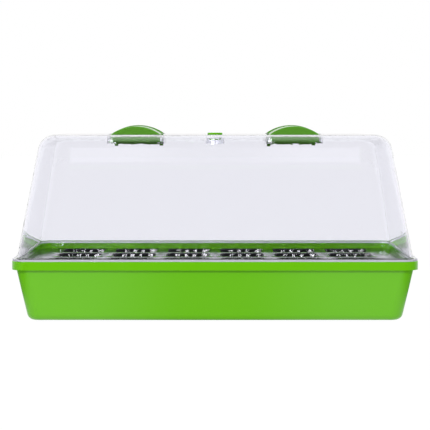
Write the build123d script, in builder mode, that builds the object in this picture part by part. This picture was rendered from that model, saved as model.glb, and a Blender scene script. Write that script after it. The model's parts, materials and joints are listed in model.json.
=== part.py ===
from build123d import *
import math
import os

# Humidity dome tray: a water tray, a 24-cell seed insert and a clear dome with two hinged vents.
# Millimetres. X is the long side, +Y the back, +Z up. The origin is the centre of the underside.

# Base tray
RIM_LENGTH = 384.0
RIM_WIDTH = 240.0
RIM_CORNER = 16.0
RIM_TOP = 57.0
RIM_SKIRT = 8.0
RIM_THICK = 1.6
RIM_EDGE_RADIUS = 0.6
TRAY_TOP_LENGTH = 379.4
TRAY_TOP_WIDTH = 235.4
TRAY_TOP_CORNER = 13.6
TRAY_FOOT_LENGTH = 355.6
TRAY_FOOT_WIDTH = 211.6
TRAY_FOOT_CORNER = 12.0
TRAY_WALL = 1.6
TRAY_FLOOR = 1.8
TRAY_EDGE_RADIUS = 7.0
FLOOR_RIB_HEIGHT = 2.0
FLOOR_RIB_WIDTH = 4.0
FLOOR_RIB_CORNER = 1.9
FLOOR_RIB_END_GAP = 16.0

# Cell tray
CELL_COLUMNS = 6
CELL_ROWS = 4
CELL_PITCH = 55.5
CELL_MOUTH = 44.0
CELL_BOTTOM = 32.0
CELL_MOUTH_CORNER = 5.0
CELL_BOTTOM_CORNER = 3.5
CELL_WALL = 1.2
CELL_TRAY_TOP = 51.5
CELL_TRAY_CLEARANCE = 0.5
CELL_TRAY_CORNER = 12.0
CELL_TRAY_SKIRT = 6.0
CELL_TRAY_FOOT_CORNER = 11.0
DRAIN_HOLE_RADIUS = 4.0

# Dome
DOME_BASE_LENGTH = 375.0
DOME_BASE_WIDTH = 231.0
DOME_BASE_CORNER = 12.0
DOME_TOP_LENGTH = 334.4
DOME_TOP_WIDTH = 190.4
DOME_TOP_CORNER = 20.0
DOME_TOP = 175.6
DOME_WALL = 1.2
DOME_EDGE_RADIUS = 17.0
FLANGE_INSET = 0.5
FLANGE_GAP = 0.2
FLANGE_THICK = 1.8
FLANGE_FILLET = 1.5
LIP_DEPTH = 3.0
LIP_INSET = 1.2

# Vents, each in a pocket sunk into the dome's top
VENT_OFFSET = 78.0
POCKET_DEPTH = 7.0
POCKET_FRONT = -41.0
POCKET_BACK = 43.0
POCKET_HALF_WIDTH = 26.8
POCKET_CORNER = 5.0
WINDOW_FRONT = -31.0
WINDOW_BACK = 27.0
WINDOW_HALF_WIDTH = 22.0
WINDOW_CORNER = 3.0
FRAME_THICK = 1.2
FRAME_CLEARANCE = 0.3
COLLAR_THICK = 1.2
COLLAR_DEPTH = 2.2
HOOK_OFFSET = 23.0
HOOK_CENTRE_Y = 38.2
HOOK_LENGTH = 3.6
HOOK_LEG = 2.2
HOOK_TOE = 1.2
HOOK_BOTTOM = 164.3
HOOK_GAP = 0.2
HOOK_TIP = 0.4
SLOT_CLEARANCE = 0.3

# Vent flap, a barrel hood that pivots on a pin along its back edge
FLAP_HALF_WIDTH = 24.2
FLAP_FRONT = -37.0
FLAP_BACK = 35.0
FLAP_CROWN = 183.5
FLAP_RADIUS = 41.0
FLAP_WALL = 1.6
FLAP_GAP = 0.2
FLAP_EDGE_RADIUS = 1.2
BEAD_CROWN = 184.2
BEAD_RADIUS = 45.0
BEAD_WIDTH = 1.4
BEAD_GAP = 0.35
HINGE_Y = 37.8
HINGE_Z = 172.2
PIN_RADIUS = 1.0
PIN_HALF_LENGTH = 24.4
PIN_CHAMFER = 0.2
KNUCKLE_RADIUS = 2.1
KNUCKLE_INNER = 15.0
KNUCKLE_OUTER = 20.6
EAR_INNER = 21.2
EAR_OUTER = 23.8
EAR_CLEARANCE = 0.04
KNUCKLE_CLEARANCE = 0.08

# Watering neck and its plug in the middle of the dome's top
NECK_RADIUS = 9.4
NECK_DEPTH = 8.6
NECK_HOLE_RADIUS = 6.4
PLUG_CAP_RADIUS = 7.5
PLUG_CAP_THICK = 1.3
PLUG_CAP_EDGE = 0.5
PLUG_SKIRT_RADIUS = 6.1
PLUG_SKIRT_WALL = 1.1
PLUG_SKIRT_DEPTH = 2.8

POCKET_FLOOR = DOME_TOP - POCKET_DEPTH
POCKET_UNDERSIDE = POCKET_FLOOR - DOME_WALL
FRAME_TOP = POCKET_FLOOR + FRAME_THICK
FLAP_BOTTOM = FRAME_TOP + FLAP_GAP
FLANGE_BOTTOM = RIM_TOP + FLANGE_GAP
FLANGE_TOP = FLANGE_BOTTOM + FLANGE_THICK
LIP_BOTTOM = RIM_TOP - LIP_DEPTH
NECK_BOTTOM = DOME_TOP - NECK_DEPTH
CELL_TRAY_BOTTOM = TRAY_FLOOR + FLOOR_RIB_HEIGHT
TRAY_DRAFT = (TRAY_TOP_LENGTH - TRAY_FOOT_LENGTH) / 2 / RIM_TOP
DOME_DRAFT = (DOME_BASE_LENGTH - DOME_TOP_LENGTH) / 2 / (DOME_TOP - FLANGE_TOP)
SAME_PLACE = 0.01

os.makedirs("parts", exist_ok=True)


def finish_piece(piece, name):
    piece.part.label = name
    export_step(piece.part, f"parts/{name}.step")


def outline(length, width, corner, height):
    """A rounded rectangle centred on the Z axis at the given height."""
    with BuildSketch(Plane.XY.offset(height)) as shape:
        RectangleRounded(length, width, corner)
    return shape.sketch


# ---------------------------------------------------------------- base tray
with BuildPart() as tray_inside:
    inside_foot = TRAY_WALL - TRAY_DRAFT * TRAY_FLOOR
    loft(
        [
            outline(TRAY_FOOT_LENGTH - 2 * inside_foot, TRAY_FOOT_WIDTH - 2 * inside_foot,
                    TRAY_FOOT_CORNER - TRAY_WALL, TRAY_FLOOR),
            outline(TRAY_TOP_LENGTH - 2 * TRAY_WALL, TRAY_TOP_WIDTH - 2 * TRAY_WALL,
                    TRAY_TOP_CORNER - TRAY_WALL, RIM_TOP),
        ],
        ruled=True,
    )
    fillet(tray_inside.faces().sort_by(Axis.Z)[0].edges(), TRAY_EDGE_RADIUS - TRAY_WALL)

with BuildPart() as base_tray:
    loft(
        [
            outline(TRAY_FOOT_LENGTH, TRAY_FOOT_WIDTH, TRAY_FOOT_CORNER, 0),
            outline(TRAY_TOP_LENGTH, TRAY_TOP_WIDTH, TRAY_TOP_CORNER, RIM_TOP),
        ],
        ruled=True,
    )
    fillet(base_tray.faces().sort_by(Axis.Z)[0].edges(), TRAY_EDGE_RADIUS)
    with BuildSketch(Plane.XY.offset(RIM_TOP)):
        RectangleRounded(RIM_LENGTH, RIM_WIDTH, RIM_CORNER)
    extrude(amount=-RIM_THICK)
    with BuildSketch(Plane.XY.offset(RIM_TOP - RIM_SKIRT)):
        RectangleRounded(RIM_LENGTH, RIM_WIDTH, RIM_CORNER)
        offset(amount=-RIM_THICK, kind=Kind.ARC, mode=Mode.SUBTRACT)
    extrude(amount=RIM_SKIRT)
    fillet(base_tray.faces().sort_by(Axis.Z)[-1].outer_wire().edges(), RIM_EDGE_RADIUS)
    add(tray_inside.part, mode=Mode.SUBTRACT)
    rib_length = TRAY_FOOT_WIDTH - 2 * FLOOR_RIB_END_GAP
    with BuildSketch(Plane.XY.offset(TRAY_FLOOR)):
        with GridLocations(CELL_PITCH, 0, CELL_COLUMNS, 1):
            RectangleRounded(FLOOR_RIB_WIDTH, rib_length, FLOOR_RIB_CORNER)
    extrude(amount=FLOOR_RIB_HEIGHT)
finish_piece(base_tray, "base_tray")

# ---------------------------------------------------------------- cell tray
cup_bottom_outer = CELL_BOTTOM + 2 * CELL_WALL
cup_mouth_outer = CELL_MOUTH + 2 * CELL_WALL
cavity_bottom = CELL_TRAY_BOTTOM + CELL_WALL

with BuildPart() as cup:
    loft(
        [
            outline(cup_bottom_outer, cup_bottom_outer, CELL_BOTTOM_CORNER + CELL_WALL, CELL_TRAY_BOTTOM),
            outline(cup_mouth_outer, cup_mouth_outer, CELL_MOUTH_CORNER + CELL_WALL, CELL_TRAY_TOP),
        ],
        ruled=True,
    )

with BuildPart() as cell_cavity:
    loft(
        [
            outline(CELL_BOTTOM, CELL_BOTTOM, CELL_BOTTOM_CORNER, cavity_bottom),
            outline(CELL_MOUTH, CELL_MOUTH, CELL_MOUTH_CORNER, CELL_TRAY_TOP),
        ],
        ruled=True,
    )
    # The drain hole is part of the same cut.
    with BuildSketch(Plane.XY.offset(CELL_TRAY_BOTTOM)):
        Circle(DRAIN_HOLE_RADIUS)
    extrude(amount=CELL_WALL)

with BuildPart() as cell_tray:
    wall_at_top = TRAY_WALL + TRAY_DRAFT * (RIM_TOP - CELL_TRAY_TOP) + CELL_TRAY_CLEARANCE
    plate_length = TRAY_TOP_LENGTH - 2 * wall_at_top
    plate_width = TRAY_TOP_WIDTH - 2 * wall_at_top
    skirt_shrink = 2 * TRAY_DRAFT * CELL_TRAY_SKIRT
    loft(
        [
            outline(plate_length - skirt_shrink, plate_width - skirt_shrink, CELL_TRAY_FOOT_CORNER,
                    CELL_TRAY_TOP - CELL_TRAY_SKIRT),
            outline(plate_length, plate_width, CELL_TRAY_CORNER, CELL_TRAY_TOP),
        ],
        ruled=True,
    )
    loft(
        [
            outline(plate_length - skirt_shrink - 2 * CELL_WALL, plate_width - skirt_shrink - 2 * CELL_WALL,
                    CELL_TRAY_FOOT_CORNER - CELL_WALL, CELL_TRAY_TOP - CELL_TRAY_SKIRT),
            outline(plate_length - 2 * CELL_WALL, plate_width - 2 * CELL_WALL, CELL_TRAY_CORNER - CELL_WALL,
                    CELL_TRAY_TOP - CELL_WALL),
        ],
        ruled=True,
        mode=Mode.SUBTRACT,
    )
    with GridLocations(CELL_PITCH, CELL_PITCH, CELL_COLUMNS, CELL_ROWS):
        add(cup.part)
    with GridLocations(CELL_PITCH, CELL_PITCH, CELL_COLUMNS, CELL_ROWS):
        add(cell_cavity.part, mode=Mode.SUBTRACT)
finish_piece(cell_tray, "cell_tray")

# ---------------------------------------------------------------- dome
pocket_sides = [-VENT_OFFSET, VENT_OFFSET]

with BuildPart() as dome_inside:
    loft(
        [
            outline(DOME_BASE_LENGTH - 2 * DOME_WALL, DOME_BASE_WIDTH - 2 * DOME_WALL,
                    DOME_BASE_CORNER - DOME_WALL, FLANGE_TOP),
            outline(DOME_TOP_LENGTH - 2 * DOME_WALL + 2 * DOME_DRAFT * DOME_WALL,
                    DOME_TOP_WIDTH - 2 * DOME_WALL + 2 * DOME_DRAFT * DOME_WALL,
                    DOME_TOP_CORNER - DOME_WALL, DOME_TOP - DOME_WALL),
        ],
        ruled=True,
    )
    fillet(dome_inside.faces().sort_by(Axis.Z)[-1].edges(), DOME_EDGE_RADIUS - DOME_WALL)
    lip_inside = LIP_INSET + DOME_WALL
    with BuildSketch(Plane.XY.offset(LIP_BOTTOM)):
        RectangleRounded(DOME_BASE_LENGTH - 2 * lip_inside, DOME_BASE_WIDTH - 2 * lip_inside,
                         DOME_BASE_CORNER - lip_inside)
    extrude(amount=FLANGE_TOP - LIP_BOTTOM)
    for side in pocket_sides:
        with BuildSketch(Plane.XY.offset(POCKET_UNDERSIDE)):
            with Locations((side, (POCKET_FRONT + POCKET_BACK) / 2)):
                RectangleRounded(2 * (POCKET_HALF_WIDTH + DOME_WALL),
                                 POCKET_BACK - POCKET_FRONT + 2 * DOME_WALL, POCKET_CORNER + DOME_WALL)
        extrude(amount=POCKET_DEPTH + DOME_WALL, mode=Mode.SUBTRACT)
    with BuildSketch(Plane.XY.offset(NECK_BOTTOM)):
        Circle(NECK_RADIUS)
        Circle(NECK_RADIUS - DOME_WALL, mode=Mode.SUBTRACT)
    extrude(amount=NECK_DEPTH, mode=Mode.SUBTRACT)

with BuildPart() as dome:
    loft(
        [
            outline(DOME_BASE_LENGTH, DOME_BASE_WIDTH, DOME_BASE_CORNER, FLANGE_TOP),
            outline(DOME_TOP_LENGTH, DOME_TOP_WIDTH, DOME_TOP_CORNER, DOME_TOP),
        ],
        ruled=True,
    )
    fillet(dome.faces().sort_by(Axis.Z)[-1].edges(), DOME_EDGE_RADIUS)
    with BuildSketch(Plane.XY.offset(FLANGE_BOTTOM)):
        RectangleRounded(RIM_LENGTH - 2 * FLANGE_INSET, RIM_WIDTH - 2 * FLANGE_INSET,
                         RIM_CORNER - FLANGE_INSET)
    extrude(amount=FLANGE_THICK)
    # The foot of the walls is every edge on the flange's top face that lies inside the flange's middle.
    middle_x = (RIM_LENGTH + DOME_BASE_LENGTH) / 4
    middle_y = (RIM_WIDTH + DOME_BASE_WIDTH) / 4
    on_flange = dome.edges().filter_by_position(Axis.Z, FLANGE_TOP - SAME_PLACE, FLANGE_TOP + SAME_PLACE)
    wall_foot = on_flange.filter_by(
        lambda edge: edge.bounding_box().max.X < middle_x
        and edge.bounding_box().min.X > -middle_x
        and abs(edge.center().Y) < middle_y
    )
    fillet(wall_foot, FLANGE_FILLET)
    with BuildSketch(Plane.XY.offset(FLANGE_BOTTOM)):
        RectangleRounded(DOME_BASE_LENGTH - 2 * LIP_INSET, DOME_BASE_WIDTH - 2 * LIP_INSET,
                         DOME_BASE_CORNER - LIP_INSET)
    extrude(amount=LIP_BOTTOM - FLANGE_BOTTOM)
    add(dome_inside.part, mode=Mode.SUBTRACT)
    for side in pocket_sides:
        with BuildSketch(Plane.XY.offset(POCKET_FLOOR)):
            with Locations((side, (POCKET_FRONT + POCKET_BACK) / 2)):
                RectangleRounded(2 * POCKET_HALF_WIDTH, POCKET_BACK - POCKET_FRONT, POCKET_CORNER)
        extrude(amount=POCKET_DEPTH, mode=Mode.SUBTRACT)
        with BuildSketch(Plane.XY.offset(POCKET_UNDERSIDE)):
            with Locations((side, (WINDOW_FRONT + WINDOW_BACK) / 2)):
                RectangleRounded(2 * WINDOW_HALF_WIDTH, WINDOW_BACK - WINDOW_FRONT, WINDOW_CORNER)
            with Locations((side - HOOK_OFFSET, HOOK_CENTRE_Y), (side + HOOK_OFFSET, HOOK_CENTRE_Y)):
                Rectangle(HOOK_LENGTH + 2 * SLOT_CLEARANCE, HOOK_LEG + HOOK_TOE + 2 * SLOT_CLEARANCE)
        extrude(amount=DOME_WALL, mode=Mode.SUBTRACT)
    with BuildSketch(Plane.XY.offset(DOME_TOP)):
        Circle(NECK_HOLE_RADIUS)
    extrude(amount=-DOME_WALL, mode=Mode.SUBTRACT)
finish_piece(dome, "dome")


# ---------------------------------------------------------------- vents
def side_plane(x):
    """The plane at x that faces +X, with its sketch X along Y and its sketch Y along Z."""
    return Plane(origin=(x, 0, 0), x_dir=(0, 1, 0), z_dir=(1, 0, 0))


def make_vent_frame(centre):
    """The green frame that snaps into one pocket and carries the hinge pin."""
    with BuildPart() as frame:
        with BuildSketch(Plane.XY.offset(POCKET_FLOOR)):
            with Locations((centre, (POCKET_FRONT + POCKET_BACK) / 2)):
                RectangleRounded(2 * (POCKET_HALF_WIDTH - FRAME_CLEARANCE),
                                 POCKET_BACK - POCKET_FRONT - 2 * FRAME_CLEARANCE,
                                 POCKET_CORNER - FRAME_CLEARANCE)
        extrude(amount=FRAME_THICK)
        with BuildSketch(Plane.XY.offset(FRAME_TOP)):
            with Locations((centre, (WINDOW_FRONT + WINDOW_BACK) / 2)):
                RectangleRounded(2 * (WINDOW_HALF_WIDTH - FRAME_CLEARANCE),
                                 WINDOW_BACK - WINDOW_FRONT - 2 * FRAME_CLEARANCE,
                                 WINDOW_CORNER - FRAME_CLEARANCE)
        extrude(amount=-FRAME_THICK - COLLAR_DEPTH)
        with BuildSketch(Plane.XY.offset(FRAME_TOP)):
            with Locations((centre, (WINDOW_FRONT + WINDOW_BACK) / 2)):
                RectangleRounded(2 * (WINDOW_HALF_WIDTH - FRAME_CLEARANCE - COLLAR_THICK),
                                 WINDOW_BACK - WINDOW_FRONT - 2 * (FRAME_CLEARANCE + COLLAR_THICK),
                                 WINDOW_CORNER - FRAME_CLEARANCE - COLLAR_THICK)
        extrude(amount=-FRAME_THICK - COLLAR_DEPTH, mode=Mode.SUBTRACT)
        # Two snap hooks go down through the pocket's slots, with their toes turned to the back.
        for hook in (-HOOK_OFFSET, HOOK_OFFSET):
            leg_front = HOOK_CENTRE_Y - (HOOK_LEG + HOOK_TOE) / 2
            leg_back = leg_front + HOOK_LEG
            toe_back = leg_back + HOOK_TOE + SLOT_CLEARANCE + HOOK_TOE
            toe_top = POCKET_UNDERSIDE - HOOK_GAP
            with BuildSketch(side_plane(centre + hook - HOOK_LENGTH / 2)):
                with BuildLine():
                    Polyline(
                        (leg_front, POCKET_FLOOR), (leg_front, HOOK_BOTTOM), (leg_back, HOOK_BOTTOM),
                        (toe_back, toe_top - HOOK_TIP), (toe_back, toe_top), (leg_back, toe_top),
                        (leg_back, POCKET_FLOOR), close=True,
                    )
                make_face()
            extrude(amount=HOOK_LENGTH)
        # Two ears hold the ends of the hinge pin.
        for ear in (-EAR_OUTER, EAR_INNER):
            with BuildSketch(side_plane(centre + ear)):
                with Locations((HINGE_Y, HINGE_Z)):
                    Circle(KNUCKLE_RADIUS)
                with Locations((HINGE_Y, (HINGE_Z + FRAME_TOP) / 2)):
                    Rectangle(2 * KNUCKLE_RADIUS, HINGE_Z - FRAME_TOP)
                with Locations((HINGE_Y, HINGE_Z)):
                    Circle(PIN_RADIUS + EAR_CLEARANCE, mode=Mode.SUBTRACT)
            extrude(amount=EAR_OUTER - EAR_INNER)
    return frame


def back_plane(x, y):
    """The upright plane at y that faces +Y, with its sketch Y along Z and its origin at x."""
    return Plane(origin=(x, y, 0), x_dir=(-1, 0, 0), z_dir=(0, 1, 0))


def barrel_outline(centre, half_width, radius, bottom, y):
    """The upright arch of the hood: straight sides under a round crown."""
    middle = FLAP_CROWN - FLAP_RADIUS
    shoulder = middle + math.sqrt(radius ** 2 - half_width ** 2)
    with BuildSketch(back_plane(centre, y)) as shape:
        with BuildLine():
            Polyline((half_width, shoulder), (half_width, bottom), (-half_width, bottom), (-half_width, shoulder))
            ThreePointArc((-half_width, shoulder), (0, middle + radius), (half_width, shoulder))
        make_face()
    return shape.sketch


def bead_outline(centre, bottom, y):
    """The arch of the bead behind the hood, a plain segment of a circle that stays above the dome's top."""
    half_width = math.sqrt(BEAD_RADIUS ** 2 - (bottom - BEAD_CROWN + BEAD_RADIUS) ** 2)
    with BuildSketch(back_plane(centre, y)) as shape:
        with BuildLine():
            Line((half_width, bottom), (-half_width, bottom))
            ThreePointArc((-half_width, bottom), (0, BEAD_CROWN), (half_width, bottom))
        make_face()
    return shape.sketch


def make_vent_flap(centre):
    """The barrel hood, open underneath, with two knuckles behind it on the hinge pin."""
    with BuildPart() as flap:
        extrude(barrel_outline(centre, FLAP_HALF_WIDTH, FLAP_RADIUS, FLAP_BOTTOM, FLAP_FRONT),
                amount=FLAP_BACK - FLAP_FRONT)
        front_arch = flap.faces().sort_by(Axis.Y)[0].edges().sort_by(Axis.Z)[-1]
        fillet(front_arch, FLAP_EDGE_RADIUS)
        extrude(bead_outline(centre, DOME_TOP + BEAD_GAP, FLAP_BACK - BEAD_WIDTH), amount=BEAD_WIDTH)
        extrude(barrel_outline(centre, FLAP_HALF_WIDTH - FLAP_WALL, FLAP_RADIUS - FLAP_WALL, FLAP_BOTTOM,
                               FLAP_FRONT + FLAP_WALL),
                amount=FLAP_BACK - FLAP_FRONT - 2 * FLAP_WALL, mode=Mode.SUBTRACT)
        for knuckle in (-KNUCKLE_OUTER, KNUCKLE_INNER):
            with BuildSketch(side_plane(centre + knuckle)):
                with Locations((HINGE_Y, HINGE_Z)):
                    Circle(KNUCKLE_RADIUS)
                with Locations(((HINGE_Y + FLAP_BACK) / 2, HINGE_Z)):
                    Rectangle(HINGE_Y - FLAP_BACK, 2 * KNUCKLE_RADIUS)
                with Locations((HINGE_Y, HINGE_Z)):
                    Circle(PIN_RADIUS + KNUCKLE_CLEARANCE, mode=Mode.SUBTRACT)
            extrude(amount=KNUCKLE_OUTER - KNUCKLE_INNER)
    return flap


def make_hinge_pin(centre):
    """The plain pin that the hood turns on."""
    with BuildPart() as pin:
        with BuildSketch(side_plane(centre - PIN_HALF_LENGTH)):
            with Locations((HINGE_Y, HINGE_Z)):
                Circle(PIN_RADIUS)
        extrude(amount=2 * PIN_HALF_LENGTH)
        chamfer(pin.edges().filter_by(GeomType.CIRCLE), PIN_CHAMFER)
    return pin


for side_name, side in (("left", -VENT_OFFSET), ("right", VENT_OFFSET)):
    finish_piece(make_vent_frame(side), f"vent_frame_{side_name}")
    finish_piece(make_vent_flap(side), f"vent_flap_{side_name}")
    finish_piece(make_hinge_pin(side), f"vent_hinge_pin_{side_name}")

# ---------------------------------------------------------------- watering plug
with BuildPart() as watering_plug:
    with BuildSketch(Plane.XY.offset(DOME_TOP)):
        Circle(PLUG_CAP_RADIUS)
    extrude(amount=PLUG_CAP_THICK)
    fillet(watering_plug.faces().sort_by(Axis.Z)[-1].edges(), PLUG_CAP_EDGE)
    with BuildSketch(Plane.XY.offset(DOME_TOP)):
        Circle(PLUG_SKIRT_RADIUS)
        Circle(PLUG_SKIRT_RADIUS - PLUG_SKIRT_WALL, mode=Mode.SUBTRACT)
    extrude(amount=-PLUG_SKIRT_DEPTH)
finish_piece(watering_plug, "watering_plug")
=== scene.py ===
import json
import math

import bmesh
import bpy
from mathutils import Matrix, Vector


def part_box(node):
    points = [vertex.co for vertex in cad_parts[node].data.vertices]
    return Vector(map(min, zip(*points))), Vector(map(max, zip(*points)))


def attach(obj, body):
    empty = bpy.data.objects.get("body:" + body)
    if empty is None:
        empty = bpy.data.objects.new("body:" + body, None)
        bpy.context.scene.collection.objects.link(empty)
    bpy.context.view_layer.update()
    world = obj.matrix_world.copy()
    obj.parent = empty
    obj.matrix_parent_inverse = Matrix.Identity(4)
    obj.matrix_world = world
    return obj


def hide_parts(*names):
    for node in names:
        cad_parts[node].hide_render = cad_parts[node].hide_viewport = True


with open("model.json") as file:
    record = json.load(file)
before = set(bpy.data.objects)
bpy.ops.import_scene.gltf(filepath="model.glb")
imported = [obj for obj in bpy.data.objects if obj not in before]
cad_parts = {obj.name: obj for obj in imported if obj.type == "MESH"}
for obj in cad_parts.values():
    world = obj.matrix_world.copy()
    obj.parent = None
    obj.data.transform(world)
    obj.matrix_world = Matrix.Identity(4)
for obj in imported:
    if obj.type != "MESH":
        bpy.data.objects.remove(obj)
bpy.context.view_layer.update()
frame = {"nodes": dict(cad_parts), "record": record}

dome_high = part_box("dome")[1]
scene = bpy.context.scene

# ---------------------------------------------------------------- camera and light
CAMERA_BACK = 1.689
CAMERA_HEIGHT = 0.1948
CAMERA_PITCH = math.radians(3.414)
CAMERA_LENS = 140.72
SENSOR_WIDTH = 36.0
CLIP_NEAR = 0.05
CLIP_FAR = 50.0
WHITE = (1.0, 1.0, 1.0, 1.0)

# Brightness of the studio as it is seen, as matt surfaces take it (soft), and as it shows in gloss
BACKDROP_SEEN = 1.0
STUDIO_SOFT = 0.60
STUDIO_DARK = 0.04
STUDIO_BRIGHT = 1.0
FLOOR_SEEN = 1.0
FLOOR_SOFT = 0.60
FLOOR_BRIGHT = 1.0
FLOOR_DIM = 0.35
FLOOR_SIDE = 0.6
FLOOR_EDGE = 0.15

# Where the brightness changes: STUDIO_TURN is in the Y part of the ray's direction, the others are in
# metres on the floor
STUDIO_TURN = (-0.35, 0.25)
PATCH_START = (0.02, 0.13)
PATCH_END = (0.19, 0.26)
PATCH_REACH = (-0.55, -0.35)
FLOOR_BACK = (-0.05, 0.15)
FLOOR_LEFT = (-0.85, -0.65)
FLOOR_HALF = 6.0
FLOOR_GREY = (0.02, 0.02, 0.02, 1.0)
FLOOR_ROUGHNESS = 0.9

# Lamps: name, place, target, width, height and power in watts
SOFT_LAMPS = (
    ("overhead", (0.0, 0.1, 1.5), (0, 0, 0.1), 1.2, 0.9, 7.0),
    ("front", (-0.2, -1.5, 0.75), (0, 0, 0.05), 0.5, 0.3, 11.0),
)
STRIP_LAMP = ("strip", (-1.53, -1.29, 0.36), (0, 0, 0.05), 3.2, 0.32, 290.0)

# Going into the dome crosses both faces of its sheet, and coming out crosses both again
CROSSINGS_INTO_DOME = 2.5


def make_camera():
    """A long lens in front of the object, a little above it and tipped down."""
    data = bpy.data.cameras.new("camera")
    data.lens = CAMERA_LENS
    data.sensor_width = SENSOR_WIDTH
    data.clip_start = CLIP_NEAR
    data.clip_end = CLIP_FAR
    camera = bpy.data.objects.new("camera", data)
    scene.collection.objects.link(camera)
    camera.location = (0.0, -CAMERA_BACK, CAMERA_HEIGHT)
    camera.rotation_euler = (math.pi / 2 - CAMERA_PITCH, 0.0, 0.0)
    scene.camera = camera


def make_area_light(name, place, target, width, height, power, seen_in_gloss):
    """A lamp that either lights the surfaces softly or shows only as a highlight in their gloss."""
    data = bpy.data.lights.new(name, "AREA")
    data.shape = "RECTANGLE"
    data.size = width
    data.size_y = height
    data.energy = power
    light = bpy.data.objects.new(name, data)
    scene.collection.objects.link(light)
    light.location = place
    aim = Vector(target) - Vector(place)
    light.rotation_euler = aim.to_track_quat("-Z", "Y").to_euler()
    light.visible_camera = False
    light.visible_glossy = seen_in_gloss
    light.visible_diffuse = not seen_in_gloss
    light.visible_transmission = False
    return light


def feed(tree, socket, value):
    """Sets a socket to a number, or links another node's output to it."""
    if isinstance(value, (int, float)):
        socket.default_value = value
    else:
        tree.links.new(value, socket)


def math_node(tree, operation, first, second=0.0):
    """The result of a sum on two numbers or outputs."""
    node = tree.nodes.new("ShaderNodeMath")
    node.operation = operation
    feed(tree, node.inputs[0], first)
    feed(tree, node.inputs[1], second)
    return node.outputs["Value"]


def ramp(tree, source, low, high, value_low, value_high):
    """A smooth step of the source, from value_low at low to value_high at high."""
    node = tree.nodes.new("ShaderNodeMapRange")
    node.interpolation_type = "SMOOTHSTEP"
    limits = (("From Min", low), ("From Max", high), ("To Min", value_low), ("To Max", value_high))
    for name, value in limits:
        node.inputs[name].default_value = value
    tree.links.new(source, node.inputs["Value"])
    return node.outputs["Result"]


def switch(tree, test, when_zero, when_one):
    """One value where the test is 0, another where it is 1, and a mix of them between."""
    node = tree.nodes.new("ShaderNodeMix")
    feed(tree, node.inputs["Factor"], test)
    feed(tree, node.inputs["A"], when_zero)
    feed(tree, node.inputs["B"], when_one)
    return node.outputs["Result"]


def light_rays(tree):
    """Two tests: has the ray bounced off any surface, and off a matt one. Passing through is no bounce."""
    path = tree.nodes.new("ShaderNodeLightPath")
    matt = math_node(tree, "MINIMUM", path.outputs["Diffuse Depth"], 1.0)
    bounces = math_node(tree, "ADD", path.outputs["Diffuse Depth"], path.outputs["Glossy Depth"])
    return math_node(tree, "MINIMUM", bounces, 1.0), matt


def coordinates(tree, output):
    """The X and Y outputs of a texture coordinate."""
    place = tree.nodes.new("ShaderNodeTexCoord")
    split = tree.nodes.new("ShaderNodeSeparateXYZ")
    tree.links.new(place.outputs[output], split.inputs[0])
    return split.outputs["X"], split.outputs["Y"]


def light_under_dome(lamp):
    """Makes a lamp show only to light that has gone in through the dome's sheet and out again."""
    lamp.visible_transmission = True
    lamp.data.use_nodes = True
    tree = lamp.data.node_tree
    path = tree.nodes.new("ShaderNodeLightPath")
    crossings = path.outputs["Transmission Depth"]
    been_inside = math_node(tree, "GREATER_THAN", crossings, CROSSINGS_INTO_DOME)
    tree.links.new(been_inside, tree.nodes["Emission"].inputs["Strength"])


def make_world():
    """White where it is seen, also through the dome. In gloss it is dark in front and white behind."""
    world = bpy.data.worlds.new("studio")
    world.use_nodes = True
    world.cycles.sampling_method = "NONE"
    tree = world.node_tree
    background = tree.nodes["Background"]
    background.inputs["Color"].default_value = WHITE
    bounced, matt = light_rays(tree)
    y = coordinates(tree, "Generated")[1]
    mirrored = ramp(tree, y, *STUDIO_TURN, STUDIO_DARK, STUDIO_BRIGHT)
    strength = switch(tree, bounced, BACKDROP_SEEN, switch(tree, matt, mirrored, STUDIO_SOFT))
    tree.links.new(strength, background.inputs["Strength"])
    scene.world = world
    scene.view_settings.view_transform = "Standard"


def make_floor():
    """A plain white floor. In gloss it has two bright patches in front, and others behind and far left."""
    mesh = bpy.data.meshes.new("floor")
    corners = [(-FLOOR_HALF, -FLOOR_HALF, 0), (FLOOR_HALF, -FLOOR_HALF, 0),
               (FLOOR_HALF, FLOOR_HALF, 0), (-FLOOR_HALF, FLOOR_HALF, 0)]
    mesh.from_pydata(corners, [], [(0, 1, 2, 3)])
    floor = bpy.data.objects.new("floor", mesh)
    scene.collection.objects.link(floor)
    material = bpy.data.materials.new("floor_white")
    material.use_nodes = True
    tree = material.node_tree
    shader = tree.nodes["Principled BSDF"]
    shader.inputs["Base Color"].default_value = FLOOR_GREY
    shader.inputs["Roughness"].default_value = FLOOR_ROUGHNESS
    shader.inputs["Specular IOR Level"].default_value = 0.0
    shader.inputs["Emission Color"].default_value = WHITE
    bounced, matt = light_rays(tree)
    x, y = coordinates(tree, "Object")
    aside = math_node(tree, "ABSOLUTE", x)
    patches = math_node(tree, "MULTIPLY", ramp(tree, aside, *PATCH_START, FLOOR_DIM, FLOOR_BRIGHT),
                        ramp(tree, aside, *PATCH_END, 1.0, FLOOR_EDGE))
    front = math_node(tree, "MULTIPLY", patches, ramp(tree, y, *PATCH_REACH, 0.0, 1.0))
    behind = ramp(tree, y, *FLOOR_BACK, 0.0, FLOOR_BRIGHT)
    beside = ramp(tree, x, *FLOOR_LEFT, FLOOR_SIDE, 0.0)
    mirrored = math_node(tree, "MAXIMUM", front, math_node(tree, "MAXIMUM", behind, beside))
    strength = switch(tree, bounced, FLOOR_SEEN, switch(tree, matt, mirrored, FLOOR_SOFT))
    tree.links.new(strength, shader.inputs["Emission Strength"])
    mesh.materials.append(material)


make_camera()
make_world()
make_floor()
for lamp in SOFT_LAMPS:
    make_area_light(*lamp, seen_in_gloss=False)
light_under_dome(make_area_light(*STRIP_LAMP, seen_in_gloss=True))


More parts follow.
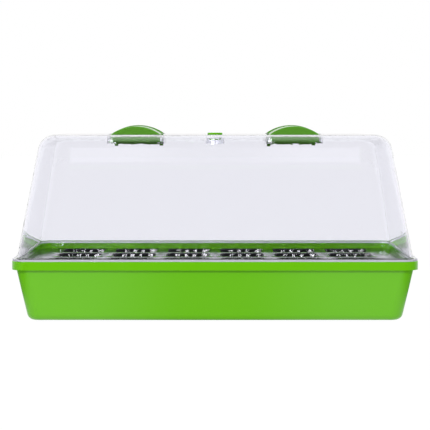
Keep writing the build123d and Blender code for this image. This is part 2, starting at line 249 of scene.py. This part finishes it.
# ---------------------------------------------------------------- materials
# The dome's sheet has a painted reflection, a lavender band along its flange's edge that is also rougher
# and less clear there, and what it shades is a little dimmer
CLEAR_TINT = (0.957, 0.957, 0.995)
CLEAR_ROUGHNESS = 0.02
PAINTED_EDGE_REFLECTION_TINT = (0.64, 0.62, 0.76)
REFLECTION_BAND_ROUGHNESS = 0.35
REFLECTION_BAND_TRANSMISSION = 0.25
FLANGE_CORNER = 0.0155
REFLECTION_BAND_WIDTH = 0.0012
DOME_SHADE = (0.82, 0.82, 0.82, 1.0)

# Noise: how finely each layer is divided, and the depth in metres of those in the bump
MOTTLE_DETAIL = 3.0
WAVE_DETAIL = 1.0
WAVE_DEPTH = 0.002
GRAIN_DETAIL = 2.0
GRAIN_DEPTH = 0.0002
GRAIN_STRENGTH = 0.05


def new_material(name, colour, roughness, ior=1.5):
    """A material of one plain finish, which vary() then spreads a little to either side."""
    material = bpy.data.materials.new(name)
    material.use_nodes = True
    shader = material.node_tree.nodes["Principled BSDF"]
    shader.inputs["Base Color"].default_value = (*colour, 1.0)
    shader.inputs["Roughness"].default_value = roughness
    shader.inputs["IOR"].default_value = ior
    return material, material.node_tree, shader


def object_noise(tree, scale, detail):
    """Noise that is fixed to the object, with scale features to the metre."""
    place = tree.nodes.new("ShaderNodeTexCoord")
    noise = tree.nodes.new("ShaderNodeTexNoise")
    noise.inputs["Scale"].default_value = scale
    noise.inputs["Detail"].default_value = detail
    tree.links.new(place.outputs["Object"], noise.inputs["Vector"])
    return noise.outputs["Fac"]


def add_bump(tree, shader, layers):
    """layers: (height output, strength, distance in metres), stacked one on the next."""
    normal = None
    for height, strength, distance in layers:
        bump = tree.nodes.new("ShaderNodeBump")
        bump.inputs["Strength"].default_value = strength
        bump.inputs["Distance"].default_value = distance
        tree.links.new(height, bump.inputs["Height"])
        if normal is not None:
            tree.links.new(normal, bump.inputs["Normal"])
        normal = bump.outputs["Normal"]
    tree.links.new(normal, shader.inputs["Normal"])


def add_waves_and_grain(tree, shader, wave_scale, wave_strength, grain_scale):
    """The slow waves of a moulded wall, with a fine grain on top."""
    add_bump(tree, shader, [(object_noise(tree, wave_scale, WAVE_DETAIL), wave_strength, WAVE_DEPTH),
                            (object_noise(tree, grain_scale, GRAIN_DETAIL), GRAIN_STRENGTH, GRAIN_DEPTH)])


def vary(tree, shader, socket, source, low, high):
    """Spreads a source from 0 to 1 over a socket, from low to high (numbers or colours)."""
    if isinstance(low, tuple):
        mix = tree.nodes.new("ShaderNodeMix")
        mix.data_type = "RGBA"
        mix.inputs["A"].default_value = (*low, 1.0)
        mix.inputs["B"].default_value = (*high, 1.0)
        tree.links.new(source, mix.inputs["Factor"])
        tree.links.new(mix.outputs["Result"], shader.inputs[socket])
        return
    spread = tree.nodes.new("ShaderNodeMapRange")
    spread.inputs["To Min"].default_value = low
    spread.inputs["To Max"].default_value = high
    tree.links.new(source, spread.inputs["Value"])
    tree.links.new(spread.outputs["Result"], shader.inputs[socket])


def make_green():
    """The tray's glossy moulded plastic."""
    material, tree, shader = new_material("green_moulded_plastic", (0.145, 0.54, 0.001), 0.16, 1.46)
    vary(tree, shader, "Base Color", object_noise(tree, 9.0, MOTTLE_DETAIL),
         (0.142, 0.530, 0.0008), (0.150, 0.550, 0.0015))
    vary(tree, shader, "Roughness", object_noise(tree, 60.0, MOTTLE_DETAIL), 0.12, 0.19)
    add_waves_and_grain(tree, shader, 12.0, 0.05, 1800.0)
    return material


def make_vent_shade_green():
    """The vents' material, the tray's green made darker and greyer as painted shade on the vents."""
    material, tree, shader = new_material("green_vent_painted_shade", (0.11, 0.34, 0.03), 0.14, 1.46)
    vary(tree, shader, "Base Color", object_noise(tree, 14.0, MOTTLE_DETAIL),
         (0.105, 0.325, 0.028), (0.118, 0.355, 0.034))
    vary(tree, shader, "Roughness", object_noise(tree, 90.0, MOTTLE_DETAIL), 0.10, 0.18)
    add_waves_and_grain(tree, shader, 25.0, 0.05, 1800.0)
    return material


def make_black():
    """The seed insert's glossy formed sheet."""
    material, tree, shader = new_material("black_gloss_sheet", (0.010, 0.010, 0.012), 0.10)
    vary(tree, shader, "Roughness", object_noise(tree, 80.0, MOTTLE_DETAIL), 0.07, 0.13)
    add_waves_and_grain(tree, shader, 30.0, 0.08, 900.0)
    return material


def edge_reach(tree, high, corner):
    """How far out a point lies across the rounded corner zone of a box, equal to corner at its outline."""
    x, y = coordinates(tree, "Object")
    squares = []
    for place, limit in ((x, high.x - corner), (y, high.y - corner)):
        beyond = math_node(tree, "SUBTRACT", math_node(tree, "ABSOLUTE", place), limit)
        beyond = math_node(tree, "MAXIMUM", beyond, 0.0)
        squares.append(math_node(tree, "MULTIPLY", beyond, beyond))
    return math_node(tree, "SQRT", math_node(tree, "ADD", *squares))


def pass_lamps(tree, shader):
    """Lets the lamps and the soft light through, so that what is under the dome is lit."""
    path = tree.nodes.new("ShaderNodeLightPath")
    through = math_node(tree, "MAXIMUM", path.outputs["Is Shadow Ray"], path.outputs["Is Diffuse Ray"])
    open_way = tree.nodes.new("ShaderNodeBsdfTransparent")
    open_way.inputs["Color"].default_value = DOME_SHADE
    mix = tree.nodes.new("ShaderNodeMixShader")
    tree.links.new(through, mix.inputs["Fac"])
    tree.links.new(shader.outputs["BSDF"], mix.inputs[1])
    tree.links.new(open_way.outputs["BSDF"], mix.inputs[2])
    tree.links.new(mix.outputs["Shader"], tree.nodes["Material Output"].inputs["Surface"])


def make_clear():
    """The dome's clear sheet, with a painted reflection: a lavender band along the flange's edge."""
    material, tree, shader = new_material("clear_dome_plastic", CLEAR_TINT, CLEAR_ROUGHNESS, 1.45)
    reach = edge_reach(tree, dome_high, FLANGE_CORNER)
    # Painted reflection: the band along the flange's edge takes a lavender tint that stands in for light
    # reflected in the sheet's edge
    painted_reflection_band = ramp(tree, reach, FLANGE_CORNER - REFLECTION_BAND_WIDTH, FLANGE_CORNER - REFLECTION_BAND_WIDTH / 2, 0.0, 1.0)
    tree.links.new(switch(tree, painted_reflection_band, 1.0, REFLECTION_BAND_TRANSMISSION), shader.inputs["Transmission Weight"])
    tree.links.new(switch(tree, painted_reflection_band, CLEAR_ROUGHNESS, REFLECTION_BAND_ROUGHNESS), shader.inputs["Roughness"])
    vary(tree, shader, "Base Color", painted_reflection_band, CLEAR_TINT, PAINTED_EDGE_REFLECTION_TINT)
    add_bump(tree, shader, [(object_noise(tree, 7.0, WAVE_DETAIL), 0.01, WAVE_DEPTH)])
    pass_lamps(tree, shader)
    return material


green = make_green()
vent_shade_green = make_vent_shade_green()
black = make_black()
clear = make_clear()
FINISHES = {"green_plastic": green, "black_plastic": black, "clear_plastic": clear}

# The vents' hoods, frames and pins share one darker green, which is painted shade, and the other nodes take
# theirs by slot
nodes = frame["nodes"]
for entry in frame["record"]["subparts"]:
    node = nodes[entry["node"]]
    node.data.materials.clear()
    finish = vent_shade_green if entry["node"].startswith("vent_") else FINISHES[entry["material_slot"]]
    node.data.materials.append(finish)

# ---------------------------------------------------------------- cell tray
# Cups: half-widths and corner radii of the inside at the mouth and the floor, walls and drain hole
MOUTH_HALF = 0.0220
MOUTH_CORNER = 0.0080
BOTTOM_HALF = 0.0160
BOTTOM_CORNER = 0.0060
CELL_WALL = 0.0012
MOUTH_LIP = 0.0008
DRAIN_RADIUS = 0.0040
FLOOR_ROUND = 0.0015

# Ribs on each side of a cup, which stand inwards and rise over a short run below the mouth
RIB_COUNT = 3
RIB_PITCH = 0.0086
RIB_RADIUS = 0.0042
RIB_HALF_ANGLE = math.radians(40)
RIB_RISE = RIB_RADIUS * (1 - math.cos(RIB_HALF_ANGLE))
RIB_START = 0.0007
RIB_RUN_IN = 0.0005
RIB_SETTLE = 0.0002

# Plate that joins the cups, with its rounded edge and its skirt
PLATE_CORNER = 0.0120
PLATE_EDGE = 0.0008
PLATE_SKIRT = 0.0060
PLATE_DRAFT = 0.21

# How finely corners, ribs and rounded edges are divided, and what counts as one place or as sharp
CORNER_STEPS = 6
RIB_STEPS = 4
EDGE_STEPS = 3
SAME_PLACE = 1e-5
SHARP_ANGLE = math.radians(40)


def cell_ring(half, corner, rise):
    """One turn round a cell, counter-clockwise, with rounded ribs that stand inwards by up to rise."""
    straight = half - corner
    spread = straight / (MOUTH_HALF - MOUTH_CORNER)
    points = []
    for quarter in range(4):
        side = [(half, -straight)]
        for rib in range(RIB_COUNT):
            middle = (rib - (RIB_COUNT - 1) / 2) * RIB_PITCH * spread
            for turn in range(-RIB_STEPS, RIB_STEPS + 1):
                angle = RIB_HALF_ANGLE * turn / RIB_STEPS
                height = (math.cos(angle) - math.cos(RIB_HALF_ANGLE)) / (1 - math.cos(RIB_HALF_ANGLE))
                side.append((half - rise * height, middle + spread * RIB_RADIUS * math.sin(angle)))
        for step in range(CORNER_STEPS):
            angle = math.pi / 2 * step / CORNER_STEPS
            side.append((straight + corner * math.cos(angle), straight + corner * math.sin(angle)))
        cosine = math.cos(math.pi / 2 * quarter)
        sine = math.sin(math.pi / 2 * quarter)
        for x, y in side:
            points.append((x * cosine - y * sine, x * sine + y * cosine))
    return points


def plate_ring(half_x, half_y, corner, z):
    """A rounded rectangle at height z."""
    points = []
    for quarter, (sign_x, sign_y) in enumerate(((1, 1), (-1, 1), (-1, -1), (1, -1))):
        for step in range(CORNER_STEPS + 1):
            angle = math.pi / 2 * (quarter + step / CORNER_STEPS)
            points.append((sign_x * (half_x - corner) + corner * math.cos(angle),
                           sign_y * (half_y - corner) + corner * math.sin(angle), z))
    return points


def join_rings(shape, rings):
    """Quads between each ring of vertices and the next."""
    for upper, lower in zip(rings, rings[1:]):
        count = len(upper)
        for i in range(count):
            j = (i + 1) % count
            shape.faces.new((upper[i], upper[j], lower[j], lower[i]))


def cell_profile(top, low, tile_half):
    """The cup's turns, from its tile's edge down inside, through the drain hole and up outside."""
    floor = low + CELL_WALL

    def half_at(z):
        return BOTTOM_HALF + (MOUTH_HALF - BOTTOM_HALF) * (z - floor) / (top - floor)

    def corner_at(z):
        return BOTTOM_CORNER + (MOUTH_CORNER - BOTTOM_CORNER) * (z - floor) / (top - floor)

    def tile_ring():
        return [(x * tile_half / max(abs(x), abs(y)), y * tile_half / max(abs(x), abs(y)))
                for x, y in cell_ring(MOUTH_HALF, MOUTH_CORNER, 0.0)]

    def circle():
        return [(DRAIN_RADIUS * x / math.hypot(x, y), DRAIN_RADIUS * y / math.hypot(x, y))
                for x, y in cell_ring(BOTTOM_HALF, BOTTOM_CORNER, 0.0)]

    turns = [(tile_ring(), top)]
    for step in range(EDGE_STEPS + 1):
        angle = math.pi / 2 * step / EDGE_STEPS
        out = MOUTH_LIP * (1 - math.sin(angle))
        z = top - MOUTH_LIP * (1 - math.cos(angle))
        turns.append((cell_ring(half_at(z) + out, corner_at(z) + out, 0.0), z))
    rib_top = top - RIB_START - RIB_RUN_IN
    for z, rise in ((top - RIB_START, 0.0), (rib_top, RIB_RISE), (rib_top - RIB_SETTLE, RIB_RISE),
                    (rib_top - 2 * RIB_SETTLE, RIB_RISE), (floor + FLOOR_ROUND, RIB_RISE)):
        turns.append((cell_ring(half_at(z), corner_at(z), rise), z))
    for angle in (math.pi / 4, math.pi / 2):
        inset = FLOOR_ROUND * (1 - math.cos(angle))
        z = floor + FLOOR_ROUND * (1 - math.sin(angle))
        turns.append((cell_ring(BOTTOM_HALF - inset, BOTTOM_CORNER, RIB_RISE), z))
    turns.append((cell_ring(BOTTOM_HALF - FLOOR_ROUND - RIB_RISE, BOTTOM_CORNER, 0.0), floor))
    turns += [(circle(), floor), (circle(), low)]
    outer_low = BOTTOM_HALF + CELL_WALL
    turns += [(cell_ring(outer_low - CELL_WALL / 2, BOTTOM_CORNER + CELL_WALL / 2, 0.0), low),
              (cell_ring(outer_low, BOTTOM_CORNER + CELL_WALL, 0.0), low + CELL_WALL / 2)]
    under = top - CELL_WALL
    turns += [(cell_ring(half_at(under) + CELL_WALL, corner_at(under) + CELL_WALL, 0.0), under),
              (tile_ring(), under)]
    return turns


def rim_edges(shape, z):
    """The open edges that lie at height z."""
    return [edge for edge in shape.edges
            if edge.is_boundary and all(abs(v.co.z - z) < SAME_PLACE for v in edge.verts)]


def mark_sharp(shape):
    """Shades the shape smooth, apart from its sharp edges."""
    for face in shape.faces:
        face.smooth = True
    for edge in shape.edges:
        edge.smooth = edge.calc_face_angle(0.0) < SHARP_ANGLE


def cell_centres():
    """The middle of each cell, read from the cells' openings in the record."""
    centres = []
    for opening in frame["record"]["physics"]["openings"]:
        if opening["name"].startswith("cell_"):
            first, last = opening["box_m"]
            centres.append(((first[0] + last[0]) / 2, (first[1] + last[1]) / 2))
    return centres


def plate_outline(high):
    """The plate's turns, over its rounded edge, down the skirt and back up inside."""
    skirt_z = high.z - PLATE_SKIRT
    drawn_in = PLATE_DRAFT * PLATE_SKIRT
    outline = []
    for step in range(EDGE_STEPS + 1):
        angle = math.pi / 2 * step / EDGE_STEPS
        inset = PLATE_EDGE * (1 - math.sin(angle))
        outline.append(plate_ring(high.x - inset, high.y - inset, PLATE_CORNER - inset,
                                  high.z - PLATE_EDGE * (1 - math.cos(angle))))
    outline.append(plate_ring(high.x - drawn_in, high.y - drawn_in, PLATE_CORNER - drawn_in, skirt_z))
    inside = drawn_in + CELL_WALL
    outline.append(plate_ring(high.x - inside, high.y - inside, PLATE_CORNER - inside, skirt_z))
    outline.append(plate_ring(high.x - CELL_WALL, high.y - CELL_WALL, PLATE_CORNER - CELL_WALL,
                              high.z - CELL_WALL))
    return outline


def make_cell_tray():
    """The seed insert with ribbed cells, rounded mouths and drain holes, for its plain CAD shape."""
    low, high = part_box("cell_tray")
    centres = cell_centres()
    columns = sorted({round(x, 5) for x, y in centres})
    tile_half = (columns[1] - columns[0]) / 2
    shape = bmesh.new()
    profile = cell_profile(high.z, low.z, tile_half)
    for centre_x, centre_y in centres:
        rings = [[shape.verts.new((centre_x + x, centre_y + y, z)) for x, y in turn] for turn, z in profile]
        join_rings(shape, rings)
    bmesh.ops.remove_doubles(shape, verts=shape.verts, dist=SAME_PLACE)
    top_rim, under_rim = rim_edges(shape, high.z), rim_edges(shape, high.z - CELL_WALL)
    rings = [[shape.verts.new(point) for point in ring] for ring in plate_outline(high)]
    join_rings(shape, rings)
    for rim, ring in ((top_rim, rings[0]), (under_rim, rings[-1])):
        around = [shape.edges.get((ring[i - 1], ring[i])) for i in range(len(ring))]
        bmesh.ops.triangle_fill(shape, edges=rim + around, use_beauty=True)
    bmesh.ops.recalc_face_normals(shape, faces=shape.faces)
    mark_sharp(shape)
    mesh = bpy.data.meshes.new("cell_tray_ribbed")
    shape.to_mesh(mesh)
    shape.free()
    piece = bpy.data.objects.new("cell_tray_ribbed", mesh)
    scene.collection.objects.link(piece)
    mesh.materials.append(black)
    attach(piece, "seed_insert")
    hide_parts("cell_tray")


make_cell_tray()
